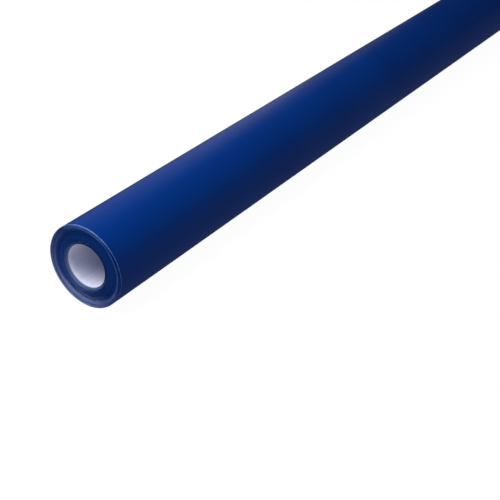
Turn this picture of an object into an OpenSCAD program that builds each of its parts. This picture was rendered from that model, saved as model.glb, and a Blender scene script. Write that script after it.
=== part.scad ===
// Roll of self-adhesive sign vinyl: a web of film on its release liner, wound on a paperboard core.
// The roll lies along Y with +Z up, and the origin is the middle of the core's bore.
// Angles go round the axis from +X towards +Z. The web's last turn starts at its fold line and
// winds inwards as the angle grows, and the tail is the flap on the other side of that line.

/* [Core] */
// Across the bore of the core
core_bore_d = 50.8; // [50:0.1:52]
// Thickness of the white paper that lines the bore
lining_ply_t = 0.4; // [0.3:0.05:0.5]
// Thickness of each of the plies of grey board
board_ply_t = 0.6; // [0.5:0.05:0.65]
// Thickness of the wrapping ply on the outside of the core
outer_ply_t = 0.4; // [0.3:0.05:0.45]

/* [Web] */
// Width of the web, which is also the length of the core
web_w = 1220; // [300:10:1600]
// Thickness of the vinyl film with its adhesive
film_t = 0.1; // [0.07:0.01:0.15]
// Thickness of the paper release liner
liner_t = 0.12; // [0.09:0.01:0.16]

/* [Windings] */
// Across the inner turns, as far as the first break in the winding
inner_turns_d = 75.2; // [70:0.2:76]
// Across the outer turns, as far as the second break
outer_turns_d = 90.4; // [88:0.2:91]
// Across the rim turns, under the last turn
rim_turns_d = 96.8; // [96:0.2:120]
// Clearance between two groups of turns, which lets them slide
turns_clearance = 0.35; // [0.3:0.01:0.5]
// How far the outer turns hang below the inner ones
turns_sag = 0.5; // [0:0.05:0.6]
// How far the inner turns have run out of the near end
inner_runout = 0.4; // [0:0.1:1]
// How far the outer turns have run out where they meet the inner ones
outer_runout = 0.9; // [0.5:0.1:1.5]
// How far the outer turns have run out where they meet the rim turns
outer_edge_runout = 1.6; // [1:0.1:2]
// How far the rim turns and the last turn have run out
rim_runout = 2; // [2:0.1:4]

/* [Last turn and tail] */
// Angle of the web's free edge
tail_edge_angle = 165; // [150:2.5:170]
// Length of the tail, as an angle
tail_sweep = 40; // [30:2.5:45]
// Length of the film that peels at the free edge, as an angle
peel_sweep = 25; // [20:2.5:27.5]
// Height of the slack where the last turn stands off the roll
slack_h = 0.8; // [0:0.1:1.5]

/* [Start tape and tape tabs] */
// Width of the double-sided tape that starts the web on the core
start_tape_w = 15; // [8:1:25]
// Thickness of the double-sided tape
start_tape_t = 0.15; // [0.1:0.01:0.2]
// Width of each tape tab, along the roll
tab_w = 25; // [15:1:50]
// Length of a tape tab on the tail, as an angle
tab_on_tail = 15; // [10:2.5:17.5]
// Length of a tape tab on the roll beyond the tail, as an angle
tab_on_roll = 20; // [10:2.5:30]
// Thickness of the tabs' masking tape
tab_t = 0.15; // [0.1:0.01:0.2]
// How far the outer two tabs are from the middle one, as a share of the web's width
tab_spacing_share = 0.4; // [0.2:0.01:0.45]

/* [Hidden] */
$fn = 96;
glue_gap = 0.02;                // between plies, and between the film and a liner that it peels from
seat_gap = 0.06;                // under the last turn
tail_gap = 0.03;                // between the tail and the turn under it, and under the tape tabs
board_plies = 3;
bore_r = core_bore_d / 2;
core_r = bore_r + lining_ply_t + board_plies * board_ply_t + outer_ply_t + (board_plies + 1) * glue_gap;
inner_turns_r = inner_turns_d / 2;
outer_turns_r = outer_turns_d / 2;
rim_turns_r = rim_turns_d / 2;
web_t = film_t + liner_t;
fold_angle = tail_edge_angle + tail_sweep;
peel_angle = tail_edge_angle + peel_sweep;
tab_spacing = tab_spacing_share * web_w;
angle_step = 2.5;               // each facet of a bent layer
cut_angle = 0.1;                // left between two lengths of web that move apart
slack_from = 310;               // the last turn stands off the roll from the lower right
slack_to = 430;                 // to the upper right
start_tape_angle = 90;

// A flat shape in X and Z, drawn out along Y
module along_y(y0, y1) {
    translate([0, y1, 0]) rotate([90, 0, 0]) linear_extrude(y1 - y0) children();
}

// A tube with square ends, moved out of the near end by runout
module tube(r_in, r_out, runout = 0) {
    along_y(-web_w / 2 - runout, web_w / 2 - runout) difference() {
        circle(r_out);
        circle(r_in);
    }
}

// A ring of turns, whose run-out grows from runout_in at r_in to runout_out at r_out
module dished_ring(r_in, r_out, runout_in, runout_out) {
    rotate([-90, 0, 0]) rotate_extrude() polygon([
        [r_in, -web_w / 2 - runout_in],
        [r_out, -web_w / 2 - runout_out],
        [r_out, web_w / 2 - runout_out],
        [r_in, web_w / 2 - runout_in]
    ]);
}

// How far the last turn stands off the roll at an angle
function slack(a) = a < slack_from || a > slack_to ? 0 :
    slack_h * (1 - cos(360 * (a - slack_from) / (slack_to - slack_from))) / 2;

// Inner radius of the web at an angle: one web thickness less for each turn inwards
function web_r(a) = rim_turns_r + seat_gap + web_t * (1 - (a - fold_angle) / 360) + slack(a);

function ring_point(r, a) = [r * cos(a), r * sin(a)];

// The angles from one edge of a length of web to the other, with its edges exact
function facet_angles(a0, a1) =
    let (n = round((a1 - a0) / angle_step))
    [for (i = [0 : n]) i == 0 ? a0 : i == n ? a1 : a0 + i * angle_step];

// The section of a layer that bends round the axis, with its two radii at each of the angles
module bent_section(angles, inner_radii, outer_radii) {
    inner_face = [for (i = [0 : len(angles) - 1]) ring_point(inner_radii[i], angles[i])];
    outer_face = [for (i = [len(angles) - 1 : -1 : 0]) ring_point(outer_radii[i], angles[i])];
    polygon(concat(inner_face, outer_face));
}

// A layer of the web from angle a0 to a1, between the heights h0 and h1 above its inner face
module web_layer(a0, a1, h0, h1, y0, y1) {
    angles = facet_angles(a0, a1);
    along_y(y0, y1)
        bent_section(angles, [for (a = angles) web_r(a) + h0], [for (a = angles) web_r(a) + h1]);
}

// A layer of the web over its whole width
module full_width_layer(a0, a1, h0, h1) {
    web_layer(a0, a1, h0, h1, -web_w / 2 - rim_runout, web_w / 2 - rim_runout);
}

module core_lining_ply() {
    color("white") tube(bore_r, bore_r + lining_ply_t);
}

// Board ply i, counted outwards from 0
module core_board_ply(i) {
    r_in = bore_r + lining_ply_t + glue_gap + i * (board_ply_t + glue_gap);
    color("tan") tube(r_in, r_in + board_ply_t);
}

module core_outer_ply() {
    color("lightgrey") tube(core_r - outer_ply_t, core_r);
}

// The tape's section, fattened all round by extra
module start_tape_section(extra = 0) {
    half_sweep = (start_tape_w / 2 + extra) / core_r * 180 / PI;
    angles = facet_angles(start_tape_angle - half_sweep, start_tape_angle + half_sweep);
    r_in = core_r + glue_gap - extra;
    r_out = core_r + glue_gap + start_tape_t + extra;
    bent_section(angles, [for (a = angles) r_in], [for (a = angles) r_out]);
}

module start_tape() {
    color("gold") along_y(-web_w / 2, web_w / 2 - inner_runout) start_tape_section();
}

module inner_windings() {
    color("midnightblue") difference() {
        tube(core_r + glue_gap, inner_turns_r, inner_runout);
        along_y(-web_w / 2 - rim_runout, web_w / 2) start_tape_section(glue_gap);
    }
}

module outer_windings() {
    hole_r = inner_turns_r + turns_clearance + turns_sag;
    color("navy") difference() {
        dished_ring(inner_turns_r, outer_turns_r, outer_runout, outer_edge_runout);
        translate([0, 0, -turns_sag]) along_y(-web_w, web_w) circle(hole_r);
    }
}

module rim_windings() {
    color("darkblue") tube(outer_turns_r + turns_clearance, rim_turns_r, rim_runout);
}

module last_turn_liner() {
    color("white")
        full_width_layer(fold_angle + cut_angle, fold_angle + 360 - angle_step, 0, liner_t);
}

module last_turn_film() {
    color("royalblue")
        full_width_layer(fold_angle + cut_angle, fold_angle + 360 - angle_step, liner_t, web_t);
}

module tail_liner() {
    color("white") full_width_layer(tail_edge_angle, fold_angle, tail_gap, liner_t + tail_gap);
}

module tail_film() {
    color("royalblue") full_width_layer(peel_angle + cut_angle, fold_angle,
        liner_t + tail_gap + glue_gap, web_t + tail_gap + glue_gap);
}

module peel_film() {
    color("royalblue") full_width_layer(tail_edge_angle, peel_angle,
        liner_t + tail_gap + glue_gap, web_t + tail_gap + glue_gap);
}

// A tape tab with its middle at y, half on the tail and half on the roll
module tape_tab(y) {
    height = web_t + 2 * tail_gap + glue_gap;
    color("beige") web_layer(tail_edge_angle - tab_on_roll, tail_edge_angle + tab_on_tail,
        height, height + tab_t, y - tab_w / 2, y + tab_w / 2);
}

core_lining_ply();
core_board_ply(0);  // core_board_ply_1
core_board_ply(1);  // core_board_ply_2
core_board_ply(2);  // core_board_ply_3
core_outer_ply();
start_tape();
inner_windings();
outer_windings();
rim_windings();
last_turn_liner();
last_turn_film();
tail_liner();
tail_film();
peel_film();
tape_tab(-tab_spacing);  // tape_tab_near
tape_tab(0);  // tape_tab_middle
tape_tab(tab_spacing);  // tape_tab_far
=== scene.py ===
"""Looks of a roll of sign vinyl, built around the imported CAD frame.

The roll lies along Y with +Z up. Angles go round the axis from +X towards +Z, as in the CAD source.
The web (film on its release liner) winds inwards as the angle grows.
"""
import math

import bpy
import numpy as np
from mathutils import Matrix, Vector


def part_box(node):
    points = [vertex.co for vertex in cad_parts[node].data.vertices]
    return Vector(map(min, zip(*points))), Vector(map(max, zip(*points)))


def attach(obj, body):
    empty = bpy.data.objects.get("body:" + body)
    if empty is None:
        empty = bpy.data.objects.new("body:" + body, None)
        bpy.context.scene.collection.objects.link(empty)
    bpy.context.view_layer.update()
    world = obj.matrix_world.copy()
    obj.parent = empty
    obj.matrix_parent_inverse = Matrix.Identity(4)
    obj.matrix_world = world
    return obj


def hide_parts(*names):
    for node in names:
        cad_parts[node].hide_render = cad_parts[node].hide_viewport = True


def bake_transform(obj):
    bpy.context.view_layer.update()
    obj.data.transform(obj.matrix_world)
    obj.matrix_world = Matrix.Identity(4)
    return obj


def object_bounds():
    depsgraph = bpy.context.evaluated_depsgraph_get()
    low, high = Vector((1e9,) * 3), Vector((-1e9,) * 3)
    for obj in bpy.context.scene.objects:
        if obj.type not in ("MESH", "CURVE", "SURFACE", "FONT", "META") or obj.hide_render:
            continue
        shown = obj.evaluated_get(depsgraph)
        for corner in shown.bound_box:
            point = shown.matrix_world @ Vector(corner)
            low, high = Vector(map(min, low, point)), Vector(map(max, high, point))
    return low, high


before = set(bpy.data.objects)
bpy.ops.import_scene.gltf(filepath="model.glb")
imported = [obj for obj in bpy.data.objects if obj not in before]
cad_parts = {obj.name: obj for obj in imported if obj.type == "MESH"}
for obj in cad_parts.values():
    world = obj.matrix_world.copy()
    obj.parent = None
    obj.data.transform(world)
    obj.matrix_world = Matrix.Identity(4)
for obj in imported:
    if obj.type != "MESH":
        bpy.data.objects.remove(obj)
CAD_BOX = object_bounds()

MM = 0.001

# Sizes that the frame gives

def outer_radius(node):
    """Half of a node's width across X."""
    low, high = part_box(node)
    return (high.x - low.x) / 2


RIM_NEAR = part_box("last_turn_film")[0].y
RIM_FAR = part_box("last_turn_film")[1].y
FLOOR_Z = CAD_BOX[0].z
WEB_W = RIM_FAR - RIM_NEAR
CORE_R = outer_radius("core_outer_ply")
INNER_TURNS_R = outer_radius("inner_windings")
OUTER_TURNS_R = outer_radius("outer_windings")
RIM_TURNS_R = outer_radius("rim_windings")
RIM_RUNOUT = -RIM_NEAR - WEB_W / 2

# Sizes that the CAD source has too

LINING_PLY_T = 0.4 * MM
BOARD_PLY_T = 0.6 * MM
OUTER_PLY_T = 0.4 * MM
FILM_T = 0.10 * MM
LINER_T = 0.12 * MM
WEB_T = FILM_T + LINER_T
GLUE_GAP = 0.02 * MM
SEAT_GAP = 0.06 * MM
TAIL_GAP = 0.03 * MM
TURNS_CLEARANCE = 0.35 * MM
TURNS_SAG = 0.5 * MM
INNER_RUNOUT = 0.4 * MM
OUTER_RUNOUT = 0.9 * MM
OUTER_EDGE_RUNOUT = 1.6 * MM
SLACK_H = 0.8 * MM
SLACK_FROM, SLACK_TO = 310, 430
TAIL_EDGE, PEEL_ANGLE, FOLD_ANGLE = 165, 190, 205
LAST_TURN_END = FOLD_ANGLE + 357.5
TAB_FROM, TAB_TO = TAIL_EDGE - 20, TAIL_EDGE + 15
TAB_W = 25 * MM
TAB_T = 0.15 * MM
TAPE_T = 0.15 * MM
TAPE_W = 15 * MM
TAPE_ANGLE = 90


# Mesh building

def make_piece(name, points, faces, materials, face_materials=None, crease_deg=35):
    """A mesh object whose edges sharper than crease_deg stay sharp."""
    mesh = bpy.data.meshes.new(name)
    mesh.from_pydata([tuple(p) for p in points], [], faces)
    for material in materials:
        mesh.materials.append(material)
    if face_materials is not None:
        mesh.polygons.foreach_set("material_index", np.asarray(face_materials, np.int32))
    mesh.polygons.foreach_set("use_smooth", np.ones(len(faces), bool))
    mesh.update()
    mesh.set_sharp_from_angle(angle=math.radians(crease_deg))
    piece = bpy.data.objects.new(name, mesh)
    bpy.context.scene.collection.objects.link(piece)
    return piece


def ring(radius, degrees, y):
    """Points at a radius and an angle round the axis. Arrays broadcast."""
    angle = np.radians(degrees)
    x, z = radius * np.cos(angle), radius * np.sin(angle)
    return np.stack(np.broadcast_arrays(x, y, z), axis=-1)


def smoothstep(low, high, x):
    t = np.clip((x - low) / (high - low), 0, 1)
    return t * t * (3 - 2 * t)


def degrees_off(degrees, middle):
    """How far an angle is from a middle one, either way round."""
    return np.abs((degrees - middle + 180) % 360 - 180)


def within(degrees, stretch):
    """1 inside a stretch of angles, which is its two ends and how soft they are. It may pass 180."""
    low, high, soft = stretch
    half = (high - low) / 2
    return 1 - smoothstep(half - soft, half + soft, degrees_off(degrees, (low + high) / 2))


def bump_at(x, middle, width):
    return np.exp(-(((x - middle) / width) ** 2))


def wander(count, turns_apart, steps, seed):
    """A smooth random walk along the spiral, near 0 with a spread of about 1."""
    knots = int(count / steps / turns_apart) + 3
    values = np.random.default_rng(seed).normal(size=knots)
    place = np.arange(count) / steps / turns_apart
    i = place.astype(int)
    t = smoothstep(0, 1, place - i)
    return values[i] * (1 - t) + values[i + 1] * t


# Materials

def new_material(name, color, roughness, specular):
    material = bpy.data.materials.new(name)
    material.use_nodes = True
    shader = material.node_tree.nodes["Principled BSDF"]
    shader.inputs["Base Color"].default_value = (*color, 1)
    shader.inputs["Roughness"].default_value = roughness
    shader.inputs["Specular IOR Level"].default_value = specular
    return material, material.node_tree, shader


def add_node(tree, kind, inputs=None, **settings):
    """A node whose inputs are values, or links from other nodes' outputs."""
    node = tree.nodes.new(kind)
    for key, value in settings.items():
        setattr(node, key, value)
    for key, value in (inputs or {}).items():
        if isinstance(value, bpy.types.NodeSocket):
            tree.links.new(value, node.inputs[key])
        else:
            node.inputs[key].default_value = value
    return node


def noise(tree, scale, stretch=(1, 1, 1), detail=3.0):
    """Noise in object space, with the axes scaled by stretch."""
    place = add_node(tree, "ShaderNodeTexCoord").outputs["Object"]
    scaled = add_node(tree, "ShaderNodeMapping", {"Vector": place, "Scale": stretch})
    inputs = {"Vector": scaled.outputs["Vector"], "Scale": scale, "Detail": detail}
    return add_node(tree, "ShaderNodeTexNoise", inputs).outputs["Fac"]


def spread(tree, value, low=0.0, high=1.0):
    """Goes from low to high as a noise goes from 0.3 to 0.7, where most of it lies."""
    inputs = {"Value": value, "From Min": 0.3, "From Max": 0.7, "To Min": low, "To Max": high}
    return add_node(tree, "ShaderNodeMapRange", inputs).outputs["Result"]


def vary_color(tree, shader, value, dark, light):
    mix = add_node(tree, "ShaderNodeMix",
                   {"Factor": spread(tree, value), "A": (*dark, 1), "B": (*light, 1)}, data_type="RGBA")
    tree.links.new(mix.outputs["Result"], shader.inputs["Base Color"])


def vary_roughness(tree, shader, value, low, high):
    tree.links.new(spread(tree, value, low, high), shader.inputs["Roughness"])


def add_bump(tree, shader, value, height):
    bump = add_node(tree, "ShaderNodeBump", {"Height": value, "Distance": height, "Strength": 1.0})
    tree.links.new(bump.outputs["Normal"], shader.inputs["Normal"])


def film_material():
    """Satin calendered vinyl: a fine grain, and faint bands where the web was pulled tighter."""
    dark, light = (0.0, 0.029, 0.208), (0.0, 0.035, 0.232)
    material, tree, shader = new_material("film_face", dark, 0.42, specular=0.13)
    vary_color(tree, shader, noise(tree, 1.0, stretch=(2.5, 9.0, 2.5), detail=4.0), dark, light)
    vary_roughness(tree, shader, noise(tree, 400), 0.38, 0.46)
    add_bump(tree, shader, noise(tree, 2600, detail=5.0), 0.012 * MM)
    return material


def lining_material():
    """White paper pasted inside the core, with faint streaks along it."""
    dark, light = (0.68, 0.70, 0.88), (0.79, 0.81, 0.97)
    material, tree, shader = new_material("lining_paper", dark, 0.6, specular=0.15)
    vary_color(tree, shader, noise(tree, 1.0, stretch=(260, 5, 260)), dark, light)
    vary_roughness(tree, shader, noise(tree, 400), 0.5, 0.65)
    add_bump(tree, shader, noise(tree, 1200, detail=6.0), 0.015 * MM)
    return material


def paper_material(name, dark, light, roughness, grain, height, specular=0.3):
    """Paper, board, tape or the cut edge of a sheet, mottled between two colours at one grain."""
    material, tree, shader = new_material(name, dark, roughness[0], specular)
    vary_color(tree, shader, noise(tree, grain, detail=6.0), dark, light)
    vary_roughness(tree, shader, noise(tree, grain * 0.6), *roughness)
    add_bump(tree, shader, noise(tree, grain * 1.7, detail=6.0), height)
    return material


FILM_FACE = film_material()
FILM_EDGE = paper_material("film_edge", (0.0, 0.022, 0.160), (0.0, 0.034, 0.215),
                           (0.45, 0.6), grain=900, height=0.01 * MM, specular=0.1)
FILM_BACK = paper_material("film_adhesive", (0.30, 0.34, 0.56), (0.36, 0.40, 0.62),
                           (0.2, 0.3), grain=300, height=0.01 * MM, specular=0.5)
# Pale blue on the walls between film and liner cut edges: partly the liner's own face, partly a painted
# sheen of the end face's outer band.
TURN_WALL_SHEEN = paper_material("turn_wall_with_sheen", (0.44, 0.54, 0.92), (0.55, 0.64, 0.98),
                           (0.5, 0.6), grain=700, height=0.01 * MM, specular=0.2)
# Navy where the liner's back is really pale: painted shade in the slit between two groups of turns, on the
# first millimetre of a group's inside at each end.
SLIT_SHADE_PAINT = paper_material("slit_painted_shade", (0.0, 0.020, 0.120), (0.0, 0.028, 0.150),
                           (0.5, 0.6), grain=700, height=0.01 * MM, specular=0.1)
# The bare strip of liner at the roll's ends, mottled from navy to light blue: partly its own tone, partly
# painted highlights broken along the rim line.
LINER_STRIP_GLINTS = paper_material("liner_strip_with_glints", (0.05, 0.20, 0.62), (0.27, 0.48, 0.95),
                             (0.7, 0.8), grain=160, height=0.01 * MM, specular=0.05)
PALE_EDGE = paper_material("pale_liner_edge", (0.028, 0.085, 0.29), (0.06, 0.13, 0.37),
                           (0.7, 0.8), grain=1500, height=0.02 * MM, specular=0.05)
# Paler liner cut edges, scattered along the bottom of the end face: painted light, where that part of the
# face is lit from above.
PAINTED_LIGHT_EDGE = paper_material("liner_edge_painted_light", (0.09, 0.14, 0.38), (0.16, 0.22, 0.50),
                             (0.7, 0.8), grain=1500, height=0.02 * MM, specular=0.05)
LINER_EDGE = paper_material("liner_edge", (0.0, 0.024, 0.145), (0.0, 0.040, 0.205),
                            (0.6, 0.8), grain=1500, height=0.02 * MM, specular=0.1)
LINER_BACK = paper_material("liner_back", (0.55, 0.60, 0.80), (0.62, 0.66, 0.84),
                            (0.5, 0.65), grain=1200, height=0.01 * MM)
LINER_FACE = paper_material("liner_release_face", (0.66, 0.70, 0.82), (0.72, 0.75, 0.85),
                            (0.2, 0.3), grain=500, height=0.005 * MM, specular=0.5)
LINING = lining_material()
# Blue-grey on the cut ends of the core's plies and lining: grey board with a painted reflection of the blue
# film.
BOARD_CUT_BLUE_CAST = paper_material("board_cut_blue_cast", (0.13, 0.20, 0.42), (0.22, 0.30, 0.54),
                           (0.8, 0.95), grain=1600, height=0.06 * MM, specular=0.1)
# Navy on the plies' faces, which show beside their slanted cut ends: painted shade on the core's end ring.
BOARD_PAINTED_SHADE = paper_material("board_painted_shade", (0.008, 0.034, 0.125), (0.020, 0.050, 0.165),
                             (0.8, 0.95), grain=900, height=0.03 * MM, specular=0.1)
TAPE = paper_material("start_tape", (0.62, 0.60, 0.46), (0.70, 0.68, 0.55),
                      (0.3, 0.4), grain=400, height=0.01 * MM)
MASKING = paper_material("masking_tape", (0.60, 0.44, 0.20), (0.72, 0.55, 0.28),
                         (0.55, 0.7), grain=900, height=0.03 * MM)


# Wound turns

# What a face of the wound turns shows, in the order of their materials
(FILM_CUT, LINER_CUT, FILM_STEP, OUTSIDE, SHADE_PAINTED_BACK,
 LINER_STEP, PALE_CUT, PAINTED_LIGHT_CUT, PLAIN_BACK) = range(9)
WOUND_MATERIALS = [FILM_EDGE, LINER_EDGE, TURN_WALL_SHEEN, FILM_FACE, SLIT_SHADE_PAINT,
                   LINER_STRIP_GLINTS, PALE_EDGE, PAINTED_LIGHT_EDGE, LINER_BACK]

STEPS = 144  # of the spiral in one turn
CORNERS = 4  # of the web's edge at each step: the liner's two and the film's two
WANDER_TURNS = 0.9  # between two places where the web's edge has wandered on its own
# The width of that painted shade, at each end of a group's inside.
SHADE_PAINTED_W = 1.0 * MM  # of the liner's back, next to its cut edges
PALE_FROM = INNER_TURNS_R + 4.0 * MM  # the radius past which the liner's cut edge is paler
GROUP_GAP = 0.06 * MM  # between two groups of turns, where they touch

# Stretches of an end face are two angles, and how softly they begin and end
HANGING_STRETCH = (-125, -22, 22)  # where the outer turns hang clear of the inner ones
PAINTED_LIGHT_STRETCH = (-98, -24, 10)  # where the liner's cut edges are painted paler: painted light along the bottom of the end face


def wound_faces(last, liner_cut, step_wall):
    """The faces of a spiral block with steps 0 to last, and what each of them shows.

    liner_cut and step_wall say what the cut liner and the wall between it and the film show at each step.
    """
    faces, kinds = [], []
    near, far = 0, CORNERS * (last + 1)
    near_shade = 2 * far
    far_shade = near_shade + STEPS + 1

    def at(side, step, corner):
        return side + CORNERS * step + corner

    def quad(a, b, c, d, kind, flip=False):
        faces.append((d, c, b, a) if flip else (a, b, c, d))
        kinds.append(kind)

    for step in range(last):
        for side in (near, far):
            for corner, kind in ((0, liner_cut[step]), (1, step_wall[step]), (2, FILM_CUT)):
                p, q = at(side, step, corner), at(side, step + 1, corner)
                quad(p, q, q + 1, p + 1, kind, flip=side == far)
            if step + STEPS < last:
                quad(at(side, step, 3), at(side, step + 1, 3), at(side, step + 1 + STEPS, 0),
                     at(side, step + STEPS, 0), OUTSIDE, flip=side == far)
    # Four lines of points round the inside of the first turn: where each begins, and the way to its next
    lines = ((near, CORNERS), (near_shade, 1), (far_shade, 1), (far, CORNERS))
    # Painted shade at both ends of the first turn's inside, and the liner's plain back between them.
    bands = list(zip(lines, lines[1:], (SHADE_PAINTED_BACK, PLAIN_BACK, SHADE_PAINTED_BACK)))
    for step in range(STEPS):
        for (p, p_next), (q, q_next), kind in bands:
            p, q = p + p_next * step, q + q_next * step
            quad(p + p_next, p, q, q + q_next, kind)
    for step in range(last - STEPS, last):
        quad(at(near, step, 3), at(near, step + 1, 3), at(far, step + 1, 3), at(far, step, 3), OUTSIDE)
    start = [at(near, 0, c) for c in range(CORNERS)]
    start += [at(near, STEPS, 0), near_shade + STEPS, far_shade + STEPS, at(far, STEPS, 0)]
    start += [at(far, 0, c) for c in reversed(range(CORNERS))] + [far_shade, near_shade]
    stop = [at(near, last, c) for c in reversed(range(CORNERS))]
    stop += [at(near, last - STEPS, 3), at(far, last - STEPS, 3)]
    stop += [at(far, last, c) for c in range(CORNERS)]
    return faces + [tuple(start), tuple(stop)], kinds + [FILM_CUT, FILM_CUT]


def wound_turns(name, radius, runout, count, relief, wobble, seed, first_angle=0.0):
    """Many turns of the web as one closed spiral block, with every cut edge at both ends.

    radius(turn, degrees) is the web's inner face, and runout(radius, degrees) how far its edge stands out
    at the near end. relief(radius, degrees) is how far a film edge stands proud of its liner.
    """
    last = int(round(count * STEPS))
    turn = np.arange(last + 1) / STEPS
    degrees = first_angle - 360 * turn
    inner = radius(turn, degrees)
    outer = radius(turn + 1, degrees)
    between = inner + (outer - inner) * LINER_T / WEB_T
    shift = runout(inner, degrees) + wobble * wander(last + 1, WANDER_TURNS, STEPS, seed)
    proud = relief(inner, degrees)
    edges, shade_lines = [], []
    for sign in (-1, 1):
        film_y = sign * WEB_W / 2 - shift
        liner_y = film_y - sign * proud
        edges.append(np.stack([ring(inner, degrees, liner_y), ring(between, degrees, liner_y),
                               ring(between, degrees, film_y), ring(outer, degrees, film_y)], axis=1))
        shade_lines.append(ring(inner, degrees, liner_y - sign * SHADE_PAINTED_W)[:STEPS + 1])
    points = np.concatenate([edge.reshape(-1, 3) for edge in edges] + shade_lines)
    # Painted light: some liner cut edges along the bottom of the end face get the paler colour.
    painted_light_steps = within(degrees, PAINTED_LIGHT_STRETCH) > np.random.default_rng(seed + 60).random(last + 1)
    liner_cut = np.where(inner > PALE_FROM, np.where(painted_light_steps, PAINTED_LIGHT_CUT, PALE_CUT), LINER_CUT)
    faces, kinds = wound_faces(last, liner_cut, np.where(proud < 0, LINER_STEP, FILM_STEP))
    piece = make_piece(name, points, faces, WOUND_MATERIALS, kinds)
    return piece


# The inner turns

INNER_COUNT = (INNER_TURNS_R - CORE_R - GLUE_GAP) / WEB_T
TAPE_HALF = math.degrees(TAPE_W / 2 / CORE_R)  # half of the start tape's width, as an angle
TAPE_FADE_SWEEP = 8  # degrees beside the start tape, over which its step fades out
TAPE_FADE_TURNS = 8  # turns above it, over which the step fades out too
# The radii of two short runs of turns that have crept out
CREPT_LINES = (INNER_TURNS_R - 7.2 * MM, INNER_TURNS_R - 4.2 * MM)
CREPT_LINE_W = 0.3 * MM
CREPT_LINE_OUT = 0.7 * MM
CREPT_LINE_STRETCH = (-95, -40, 18)
# The radii between which the first turns give way to the rest
FIRST_TURNS = (CORE_R + 0.52 * MM, CORE_R + 2.92 * MM)
FIRST_TURNS_RELIEF = 0.085 * MM  # of their film, past that of the rest
INNER_RELIEF = 0.015 * MM
TIGHT_STRETCH = (-100, 20, 15)  # where the first turns have hardly crept apart


def inner_radius(turn, degrees):
    """The inner turns pass over the start tape, whose step fades out over the next turns."""
    pitch = (INNER_TURNS_R - CORE_R - GLUE_GAP) / INNER_COUNT
    beside = smoothstep(TAPE_HALF, TAPE_HALF + TAPE_FADE_SWEEP, degrees_off(degrees, TAPE_ANGLE))
    step = (TAPE_T + GLUE_GAP) * (1 - beside)
    return CORE_R + GLUE_GAP + pitch * turn + step * np.clip(1 - turn / TAPE_FADE_TURNS, 0, 1)


def inner_runout(radius, degrees):
    """Level, but for the two short runs of turns that have crept out."""
    lines = sum(bump_at(radius, line, CREPT_LINE_W) for line in CREPT_LINES)
    return INNER_RUNOUT + CREPT_LINE_OUT * lines * within(degrees, CREPT_LINE_STRETCH)


def inner_relief(radius, degrees):
    """The first turns on the core have crept apart the most, but not at the lower right."""
    crept = (1 - smoothstep(*FIRST_TURNS, radius)) * (1 - 0.8 * within(degrees, TIGHT_STRETCH))
    return INNER_RELIEF + FIRST_TURNS_RELIEF * crept


# The outer turns

# As many as fit at the bottom, where the gap under the inner turns is widest
OUTER_COUNT = (OUTER_TURNS_R - INNER_TURNS_R - TURNS_CLEARANCE - TURNS_SAG) / WEB_T
HANGING_GAP = 0.8 * MM  # past the groups' own gap, where the outer turns hang clear
SLIPPED_STRETCH = (-58, 125, 12)  # where the liner of some outer turns has slipped out
SLIPPED_TOP_STRETCH = (42, 128, 12)  # where it begins further out, and more softly
SLIPPED_FROM = INNER_TURNS_R + 5.5 * MM  # the radius where it begins
SLIPPED_WANDER = 0.3 * MM
SLIPPED_SOFT = 0.3 * MM
SLIPPED_OUT = 0.25 * MM
SLIPPED_RELIEF = 0.06 * MM  # of the liner, past the film
FLUSH_STRETCH = (130, 215, 20)  # where the film stands proud from further out
PROUD_FROM = INNER_TURNS_R + 1.0 * MM  # the radius where it begins to stand proud
PROUD_RISE_W = 3 * MM


def outer_turns_radius(turn, degrees):
    """The first outer turns hang a little below the axis, and the last are round about it."""
    gap = GROUP_GAP + HANGING_GAP * within(degrees, HANGING_STRETCH)
    share = np.clip(turn / OUTER_COUNT, 0, 1)
    start = INNER_TURNS_R + gap * (1 - share)
    return start + (OUTER_TURNS_R - start) * share


def slipped_band(radius, degrees):
    """1 in a ring of the outer turns where the liner has slipped out past the film, whose edge wanders."""
    angle = np.radians(degrees)
    top = within(degrees, SLIPPED_TOP_STRETCH)
    wandering = SLIPPED_WANDER * np.sin(7 * angle) * np.sin(3 * angle + 0.7)
    inner_edge = SLIPPED_FROM + wandering + 0.6 * MM * top
    soft = SLIPPED_SOFT + 1.1 * MM * top
    return smoothstep(-soft, soft, radius - inner_edge) * within(degrees, SLIPPED_STRETCH)


def outer_runout(radius, degrees):
    """A dish, whose turns stand out further in the slipped band."""
    share = (radius - INNER_TURNS_R) / (OUTER_TURNS_R - INNER_TURNS_R)
    start = INNER_RUNOUT + (OUTER_RUNOUT - INNER_RUNOUT) * within(degrees, HANGING_STRETCH)
    return start + (OUTER_EDGE_RUNOUT - start) * share + SLIPPED_OUT * slipped_band(radius, degrees)


def outer_relief(radius, degrees):
    """The film stands proud, more so further out, and less in the slipped band, where the liner does."""
    proud_from = PROUD_FROM + 1.8 * MM * within(degrees, FLUSH_STRETCH)
    proud = 0.02 * MM + 0.09 * MM * smoothstep(proud_from, proud_from + PROUD_RISE_W, radius)
    slip = SLIPPED_RELIEF - 0.03 * MM * within(degrees, SLIPPED_TOP_STRETCH)
    return proud - (proud + slip) * slipped_band(radius, degrees)


# The rim turns

RIM_COUNT = (RIM_TURNS_R - OUTER_TURNS_R - GROUP_GAP) / WEB_T
RIM_RELIEF = 0.10 * MM
RIM_PROUD_STRETCH = (135, 205, 12)  # where the film stands proudest
RIM_SLIPPED_STRETCH = (48, 125, 12)  # where the liner has slipped out past it


def rim_radius(turn, degrees):
    start = OUTER_TURNS_R + GROUP_GAP
    return start + (RIM_TURNS_R - start) * turn / RIM_COUNT


def rim_runout(radius, degrees):
    return RIM_RUNOUT


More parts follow.
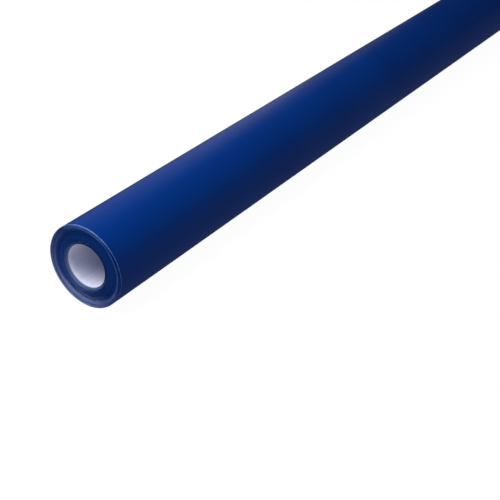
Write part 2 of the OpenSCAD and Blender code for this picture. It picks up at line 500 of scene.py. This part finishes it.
def rim_relief(radius, degrees):
    """The film stands proud, most at the left, but at the top the liner does."""
    slipped = 0.13 * MM * within(degrees, RIM_SLIPPED_STRETCH)
    return RIM_RELIEF + 0.05 * MM * within(degrees, RIM_PROUD_STRETCH) - slipped


def build_windings():
    inner = wound_turns("inner_turns", inner_radius, inner_runout, INNER_COUNT - 1, inner_relief,
                        wobble=0.03 * MM, seed=5)
    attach(inner, "core_and_inner_turns")
    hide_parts("inner_windings")
    outer = wound_turns("outer_turns", outer_turns_radius, outer_runout, OUTER_COUNT - 1, outer_relief,
                        wobble=0.06 * MM, seed=11, first_angle=70.0)
    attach(outer, "outer_turns")
    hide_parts("outer_windings")
    rim = wound_turns("rim_turns", rim_radius, rim_runout, RIM_COUNT - 1, rim_relief,
                      wobble=0.05 * MM, seed=23, first_angle=200.0)
    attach(rim, "rim_turns")
    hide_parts("rim_windings")


# Sheets of film and liner

FILM_SETBACK = 0.5 * MM  # of the film's slit edges from the liner's, about which they wander
SHEET_COLUMNS = 82  # of points along the roll
SEAM_ANGLE = 282  # under the roll, where the tail's pieces meet the last turn's
CUT_ANGLE = 0.05  # between the tail's film and the film that peels
SETTLE_SWEEP = 20  # degrees past the fold line, over which the tail's gaps close
# Two angles at each sheet's joint, from one to the other
TAIL_BEND = (214, 200)
PEEL_BEND = (189.5, 182)
TAB_BEND = (179, 172)

# What a face of a bent sheet shows, in the order of its materials
OUTER_FACE, INNER_FACE, SHEET_EDGE, END_STRIP = range(4)


def bent_sheet(name, degrees, ys, low, high, materials, edge_wave=None):
    """A thin closed sheet round the axis. low and high give its two faces' radii at (degrees, y).

    materials are those of its outer face, its inner face and its edges, and there may be one more for
    the outer face's strips at both ends of the roll.
    """
    rows, cols = len(degrees), len(ys)
    a, y = np.meshgrid(degrees, ys, indexing="ij")
    if edge_wave is not None:
        a, y = edge_wave(a, y)
    bottom = ring(low(a, y), a, y).reshape(-1, 3)
    top = ring(high(a, y), a, y).reshape(-1, 3)
    count = rows * cols
    strips = (0, cols - 2) if len(materials) > END_STRIP else ()
    faces, kinds = [], []
    for i in range(rows - 1):
        for j in range(cols - 1):
            p = i * cols + j
            q, r, s = p + cols, p + cols + 1, p + 1
            faces.append((p, q, r, s))
            faces.append((count + s, count + r, count + q, count + p))
            kinds += [INNER_FACE, END_STRIP if j in strips else OUTER_FACE]
    border = list(range(cols))
    border += [i * cols + cols - 1 for i in range(1, rows)]
    border += [(rows - 1) * cols + j for j in range(cols - 2, -1, -1)]
    border += [i * cols for i in range(rows - 2, 0, -1)]
    for p, q in zip(border, border[1:] + border[:1]):
        faces.append((p, q, count + q, count + p))
        kinds.append(SHEET_EDGE)
    return make_piece(name, np.concatenate([bottom, top]), faces, materials, kinds)


def sheet_angles(start, stop, step=1.5):
    return np.linspace(start, stop, int(round((stop - start) / step)) + 1)


def web_r(degrees):
    """Inner radius of the web at an angle of the last turn or the tail."""
    inside = (degrees > SLACK_FROM) & (degrees < SLACK_TO)
    wave = (1 - np.cos(2 * np.pi * (degrees - SLACK_FROM) / (SLACK_TO - SLACK_FROM))) / 2
    slack = SLACK_H * wave * inside
    return RIM_TURNS_R + SEAT_GAP + WEB_T * (1 - (degrees - FOLD_ANGLE) / 360) + slack


def point_at(degrees):
    """The web's inner face at an angle, half way along the roll."""
    return tuple(ring(web_r(degrees), degrees, 0.0))


def ripple(a, y):
    """Slow waves of a loosely wound turn, a tenth of a millimetre high, and none where it rests."""
    free = smoothstep(300, 335, a) * (1 - smoothstep(470, 520, a))
    waves = np.sin(y * 17 + a * 0.031) + 0.6 * np.sin(y * 41 - a * 0.052 + 1.3)
    return 0.05 * MM * free * (1 + 0.6 * waves)


def no_lift(a):
    """For a layer that lies on the one below it."""
    return 0.0


def tail_lift(a):
    """The tail lies on the turn below it, whose own spiral carries it round to the seam."""
    return TAIL_GAP * (1 - smoothstep(FOLD_ANGLE, FOLD_ANGLE + SETTLE_SWEEP, a))


def tail_film_lift(a):
    """The tail's film has a gap for the glue under it too."""
    return tail_lift(a) + GLUE_GAP * (1 - smoothstep(FOLD_ANGLE, FOLD_ANGLE + SETTLE_SWEEP, a))


def layer_faces(height, thickness, lift=no_lift):
    """The radii of a layer's two faces. The layer begins at a height above the web's inner face."""
    return (lambda a, y: web_r(a) + height + ripple(a, y) + lift(a),
            lambda a, y: web_r(a) + height + thickness + ripple(a, y) + lift(a))


def film_ys():
    return np.linspace(RIM_NEAR + FILM_SETBACK, RIM_FAR - FILM_SETBACK, SHEET_COLUMNS)


def wandering_edge(a, y):
    """The film's two slit edges wander along the liner's.

    They leave a strip of it bare at the top, and are about level with its edges at the bottom.
    """
    ripples = np.sin(np.radians(a * 5.9 + 50)) + 0.7 * np.sin(np.radians(a * 14.3))
    shift = 0.06 * MM * ripples - 0.16 * MM + 0.36 * MM * np.cos(np.radians(a - 105))
    y = y.copy()
    y[:, 0] += shift[:, 0]
    y[:, -1] -= shift[:, -1]
    return a, y


def film_sheet(name, degrees, node, lift=no_lift):
    film = bent_sheet(name, degrees, film_ys(), *layer_faces(LINER_T, FILM_T, lift),
                      [FILM_FACE, FILM_BACK, FILM_EDGE], wandering_edge)
    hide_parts(node)
    return film


def liner_sheet(name, degrees, node, lift=no_lift):
    """The liner is wider than the film, which leaves its strips bare."""
    ys = np.concatenate([[RIM_NEAR], film_ys(), [RIM_FAR]])
    liner = bent_sheet(name, degrees, ys, *layer_faces(0.0, LINER_T, lift),
                       [LINER_FACE, LINER_BACK, LINER_STRIP_GLINTS, LINER_STRIP_GLINTS])
    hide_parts(node)
    return liner


def bend(piece, angles):
    """Bake a piece's placement into its mesh. The points at the two angles are worked out, and nothing uses
    them.
    """
    point_at(angles[0])
    point_at(angles[1])
    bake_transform(piece)


def build_last_turn():
    degrees = sheet_angles(SEAM_ANGLE, LAST_TURN_END)
    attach(film_sheet("last_turn_film_sheet", degrees, "last_turn_film"), "rim_turns")
    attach(liner_sheet("last_turn_liner_sheet", degrees, "last_turn_liner"), "rim_turns")


def build_tail():
    degrees = sheet_angles(TAIL_EDGE, SEAM_ANGLE, 1.0)
    liner = liner_sheet("tail_liner_sheet", degrees, "tail_liner", tail_lift)
    bend(liner, TAIL_BEND)
    degrees = sheet_angles(PEEL_ANGLE + CUT_ANGLE, SEAM_ANGLE, 1.0)
    film = film_sheet("tail_film_sheet", degrees, "tail_film", tail_film_lift)
    bend(film, TAIL_BEND)
    degrees = sheet_angles(TAIL_EDGE, PEEL_ANGLE, 0.5)
    peel = film_sheet("peel_film_sheet", degrees, "peel_film", tail_film_lift)
    bend(peel, PEEL_BEND)


# Tape tabs

TAB_GAP = 0.03 * MM  # under the half of a tab that is on the roll
TAB_OVER_TAIL = WEB_T + TAIL_GAP + GLUE_GAP + 0.015 * MM
TAB_COLUMNS = 61  # of points across a tab
TOOTH_W = 1.6 * MM  # of the pinked ends
TOOTH_SWEEP = 0.9  # degrees
CREPE_H = 0.018 * MM


def tab_seat(a):
    """Height of a tab's sticky face, which steps up from the roll onto the tail."""
    return TAB_GAP + (TAB_OVER_TAIL - TAB_GAP) * smoothstep(TAIL_EDGE - 4, TAIL_EDGE - 0.3, a)


def build_tab(tab, seed):
    """Creped masking tape with pinked ends."""
    node = f"tape_tab_{tab}"
    low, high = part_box(node)
    middle = (low.y + high.y) / 2

    def pinked(a, y):
        saw = np.abs((y - middle) / TOOTH_W % 1 - 0.5) * 2
        by_start = 1 - smoothstep(TAB_FROM, TAB_FROM + 3, a)
        by_stop = smoothstep(TAB_TO - 3, TAB_TO, a)
        return a + TOOTH_SWEEP * saw * by_start - TOOTH_SWEEP * saw * by_stop, y

    def sticky_face(a, y):
        return web_r(a) + tab_seat(a)

    def creped_face(a, y):
        rng = np.random.default_rng(seed)
        lines = rng.normal(size=(a.shape[0], 1)) + 0.35 * rng.normal(size=a.shape)
        return web_r(a) + tab_seat(a) + TAB_T + CREPE_H * lines

    ys = np.linspace(middle - TAB_W / 2, middle + TAB_W / 2, TAB_COLUMNS)
    piece = bent_sheet(f"masking_tape_{tab}", sheet_angles(TAB_FROM, TAB_TO, 0.5), ys,
                       sticky_face, creped_face, [MASKING, MASKING, MASKING], pinked)
    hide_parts(node)
    bend(piece, TAB_BEND)


def build_tabs():
    for seed, tab in enumerate(("near", "middle", "far"), start=40):
        build_tab(tab, seed)


# Core

PLY_AROUND, PLY_ROWS = 96, 150  # points round a ply and along it
SEAM_W, SEAM_DEPTH = 0.35 * MM, 0.08 * MM
RAGGED = 0.06 * MM  # how rough a ply's cut ends are
CUT_SLANT = 1.25  # how far the inner side of a ply's cut end is set back, in thicknesses
PLY_CREASE = 50  # degrees, so that a ply's cut ends stay sharp and its seams soft
START_TAPE_COLUMNS = 30  # of points along the roll

# What a face of a ply shows, in the order of its materials
PLY_INSIDE, PLY_OUTSIDE, PLY_END = range(3)
BOARD_MATERIALS = [BOARD_PAINTED_SHADE, BOARD_PAINTED_SHADE, BOARD_CUT_BLUE_CAST]


def wound_ply(name, node, thickness, lead, phase, materials):
    """A tube wound from a strip on a helix, with the butt seam between its turns on both faces.

    lead is how far the strip goes along the roll in one turn, and phase the angle where it begins.
    """
    low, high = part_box(node)
    outer = outer_radius(node)
    inner = outer - thickness
    gap = math.degrees(SEAM_W / outer)
    around = np.concatenate([[0.0, gap / 2, gap], np.linspace(gap, 360, PLY_AROUND + 1)[1:-1]])
    n = len(around)
    depth = np.zeros(n)
    depth[1] = SEAM_DEPTH
    ys = np.linspace(low.y, high.y, PLY_ROWS)[:, None]
    ragged = RAGGED * np.random.default_rng(phase + 3).normal(size=(2, n))
    shells = []
    for radius, sign in ((outer, -1), (inner, 1)):
        a = around + phase + 360 * (ys - low.y) / lead
        y = np.repeat(ys, n, 1)
        slant = CUT_SLANT * (outer - radius)
        y[0] += np.abs(ragged[0]) + slant
        y[-1] -= np.abs(ragged[1]) + slant
        shells.append(ring(radius + sign * depth, a, y).reshape(-1, 3))
    count = PLY_ROWS * n
    faces, kinds = [], []
    for i in range(PLY_ROWS - 1):
        for j in range(n):
            p, s = i * n + j, i * n + (j + 1) % n
            q, r = p + n, s + n
            faces.append((p, q, r, s))
            faces.append((count + s, count + r, count + q, count + p))
            kinds += [PLY_OUTSIDE, PLY_INSIDE]
    far = (PLY_ROWS - 1) * n
    for j in range(n):
        s = (j + 1) % n
        faces.append((j, s, count + s, count + j))
        faces.append((far + s, far + j, count + far + j, count + far + s))
        kinds += [PLY_END, PLY_END]
    piece = make_piece(name, np.concatenate(shells), faces, materials, kinds, PLY_CREASE)
    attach(piece, "core_and_inner_turns")
    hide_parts(node)


def build_start_tape():
    low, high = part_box("start_tape")
    degrees = sheet_angles(TAPE_ANGLE - TAPE_HALF, TAPE_ANGLE + TAPE_HALF, 1.0)
    ys = np.linspace(low.y, high.y, START_TAPE_COLUMNS)
    tape = bent_sheet("start_tape_strip", degrees, ys, lambda a, y: CORE_R + GLUE_GAP / 2,
                      lambda a, y: CORE_R + TAPE_T, [TAPE, TAPE, TAPE])
    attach(tape, "core_and_inner_turns")
    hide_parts("start_tape")


def build_core():
    wound_ply("core_lining_strip", "core_lining_ply", LINING_PLY_T, lead=0.118, phase=40,
              materials=[LINING, BOARD_PAINTED_SHADE, BOARD_CUT_BLUE_CAST])
    for i in (1, 2, 3):
        wound_ply(f"core_board_strip_{i}", f"core_board_ply_{i}", BOARD_PLY_T, lead=0.125 + 0.004 * i,
                  phase=110 * i, materials=BOARD_MATERIALS)
    wound_ply("core_wrap_strip", "core_outer_ply", OUTER_PLY_T, lead=0.141, phase=200,
              materials=BOARD_MATERIALS)
    build_start_tape()


# Stage, lights and camera

FLOOR_HALF = 12.0
CAMERA_TARGET = Vector((0.06535, -0.3975, -0.0628))
CAMERA_DISTANCE = 1.3176
CAMERA_AZIMUTH, CAMERA_ELEVATION = math.radians(33.9), math.radians(30.55)
CAMERA_LENS, CAMERA_SENSOR = 79.6, 36


def place_facing(thing, place, toward):
    """Put a lamp or the camera at a place, looking along a direction."""
    bpy.context.scene.collection.objects.link(thing)
    thing.location = place
    thing.rotation_mode = "QUATERNION"
    thing.rotation_quaternion = toward.to_track_quat("-Z", "Y")


def add_softbox(name, place, target, size, energy, glossy=False):
    """A softbox that lights only matt surfaces, or only gives glossy ones their reflection."""
    light = bpy.data.lights.new(name, "AREA")
    light.shape = "RECTANGLE"
    light.size, light.size_y = size
    light.energy = energy
    lamp = bpy.data.objects.new(name, light)
    place_facing(lamp, place, Vector(target) - Vector(place))
    lamp.visible_diffuse = not glossy
    lamp.visible_glossy = glossy
    lamp.visible_camera = False


def build_lights():
    add_softbox("key", (-0.35, -0.95, 1.0), (0, -0.5, 0), (0.9, 0.9), energy=11)
    add_softbox("top", (0.0, -0.6, 1.1), (0, -0.55, 0), (0.9, 0.9), energy=3.4)
    add_softbox("bore_fill", (0.1, -1.2, 1.3), (0, -0.6, 0), (0.6, 0.6), energy=1.9)
    add_softbox("sheen_near", (-0.5, 0.08, 0.3), (0, -0.45, 0.05), (0.5, 0.7), energy=0.44, glossy=True)
    add_softbox("sheen_far", (-0.55, 0.55, 0.35), (0, 0.0, 0.05), (0.5, 0.7), energy=0.27, glossy=True)


def build_floor():
    """White to the camera, and dim in reflections. It sends no light to matt surfaces."""
    corners = ((-1, -1), (1, -1), (1, 1), (-1, 1))
    points = [(FLOOR_HALF * x, FLOOR_HALF * y, FLOOR_Z) for x, y in corners]
    material, tree, shader = new_material("floor", (0.07, 0.07, 0.07), 0.9, specular=0.0)
    shader.inputs["Emission Color"].default_value = (1, 1, 1, 1)
    material.cycles.emission_sampling = "NONE"
    glossy = add_node(tree, "ShaderNodeLightPath").outputs["Is Glossy Ray"]
    for socket, seen, reflected in (("Base Color", 0.07, 0.0), ("Emission Strength", 0.97, 0.09)):
        value = add_node(tree, "ShaderNodeMapRange", {"Value": glossy, "To Min": seen, "To Max": reflected})
        tree.links.new(value.outputs["Result"], shader.inputs[socket])
    floor = make_piece("floor", points, [(0, 1, 2, 3)], [material])
    floor.visible_diffuse = False


def build_world():
    """White to the camera. It lights matt surfaces mostly from below, as off a white ground, and shows
    glossy ones only a faint glow behind the roll, at the left.
    """
    world = bpy.data.worlds.new("backdrop")
    bpy.context.scene.world = world
    world.cycles.sampling_method = "NONE"
    world.use_nodes = True
    tree = world.node_tree
    tree.nodes.clear()
    direction = add_node(tree, "ShaderNodeTexCoord").outputs["Generated"]
    rays = add_node(tree, "ShaderNodeLightPath")

    def background(color, strength):
        inputs = {"Color": (*color, 1), "Strength": strength}
        return add_node(tree, "ShaderNodeBackground", inputs).outputs["Background"]

    def glow(toward, cosines, strengths, color):
        """A background whose strength changes as a ray turns towards a direction."""
        dot = add_node(tree, "ShaderNodeVectorMath", {0: direction, 1: Vector(toward).normalized()},
                       operation="DOT_PRODUCT")
        inputs = {"Value": dot.outputs["Value"], "From Min": cosines[0], "From Max": cosines[1],
                  "To Min": strengths[0], "To Max": strengths[1]}
        return background(color, add_node(tree, "ShaderNodeMapRange", inputs).outputs["Result"])

    def choose(ray, when, otherwise):
        """One shader for a kind of ray, and the other for the rest."""
        inputs = {0: rays.outputs[ray], 1: otherwise, 2: when}
        return add_node(tree, "ShaderNodeMixShader", inputs).outputs["Shader"]

    matt = glow((0.0, 0.0, 1.0), (-1.0, 1.0), (0.67, 0.07), (0.98, 0.99, 1.0))
    glossy = glow((-0.6, 0.75, 0.1), (0.5, 0.9), (0.0, 0.03), (0.62, 0.92, 1.0))
    lit = choose("Is Glossy Ray", glossy, matt)
    seen = choose("Is Camera Ray", background((1, 1, 1), 1.0), lit)
    add_node(tree, "ShaderNodeOutputWorld", {"Surface": seen})


def build_camera():
    camera = bpy.data.cameras.new("camera")
    camera.sensor_width = CAMERA_SENSOR
    camera.lens = CAMERA_LENS
    view = bpy.data.objects.new("camera", camera)
    level = math.cos(CAMERA_ELEVATION)
    back = Vector((math.sin(CAMERA_AZIMUTH) * level, -math.cos(CAMERA_AZIMUTH) * level,
                   math.sin(CAMERA_ELEVATION)))
    place_facing(view, CAMERA_TARGET + back * CAMERA_DISTANCE, -back)
    bpy.context.scene.camera = view


build_camera()
build_world()
build_floor()
build_lights()
bpy.context.scene.view_settings.view_transform = "Standard"
build_core()
build_windings()
build_last_turn()
build_tail()
build_tabs()
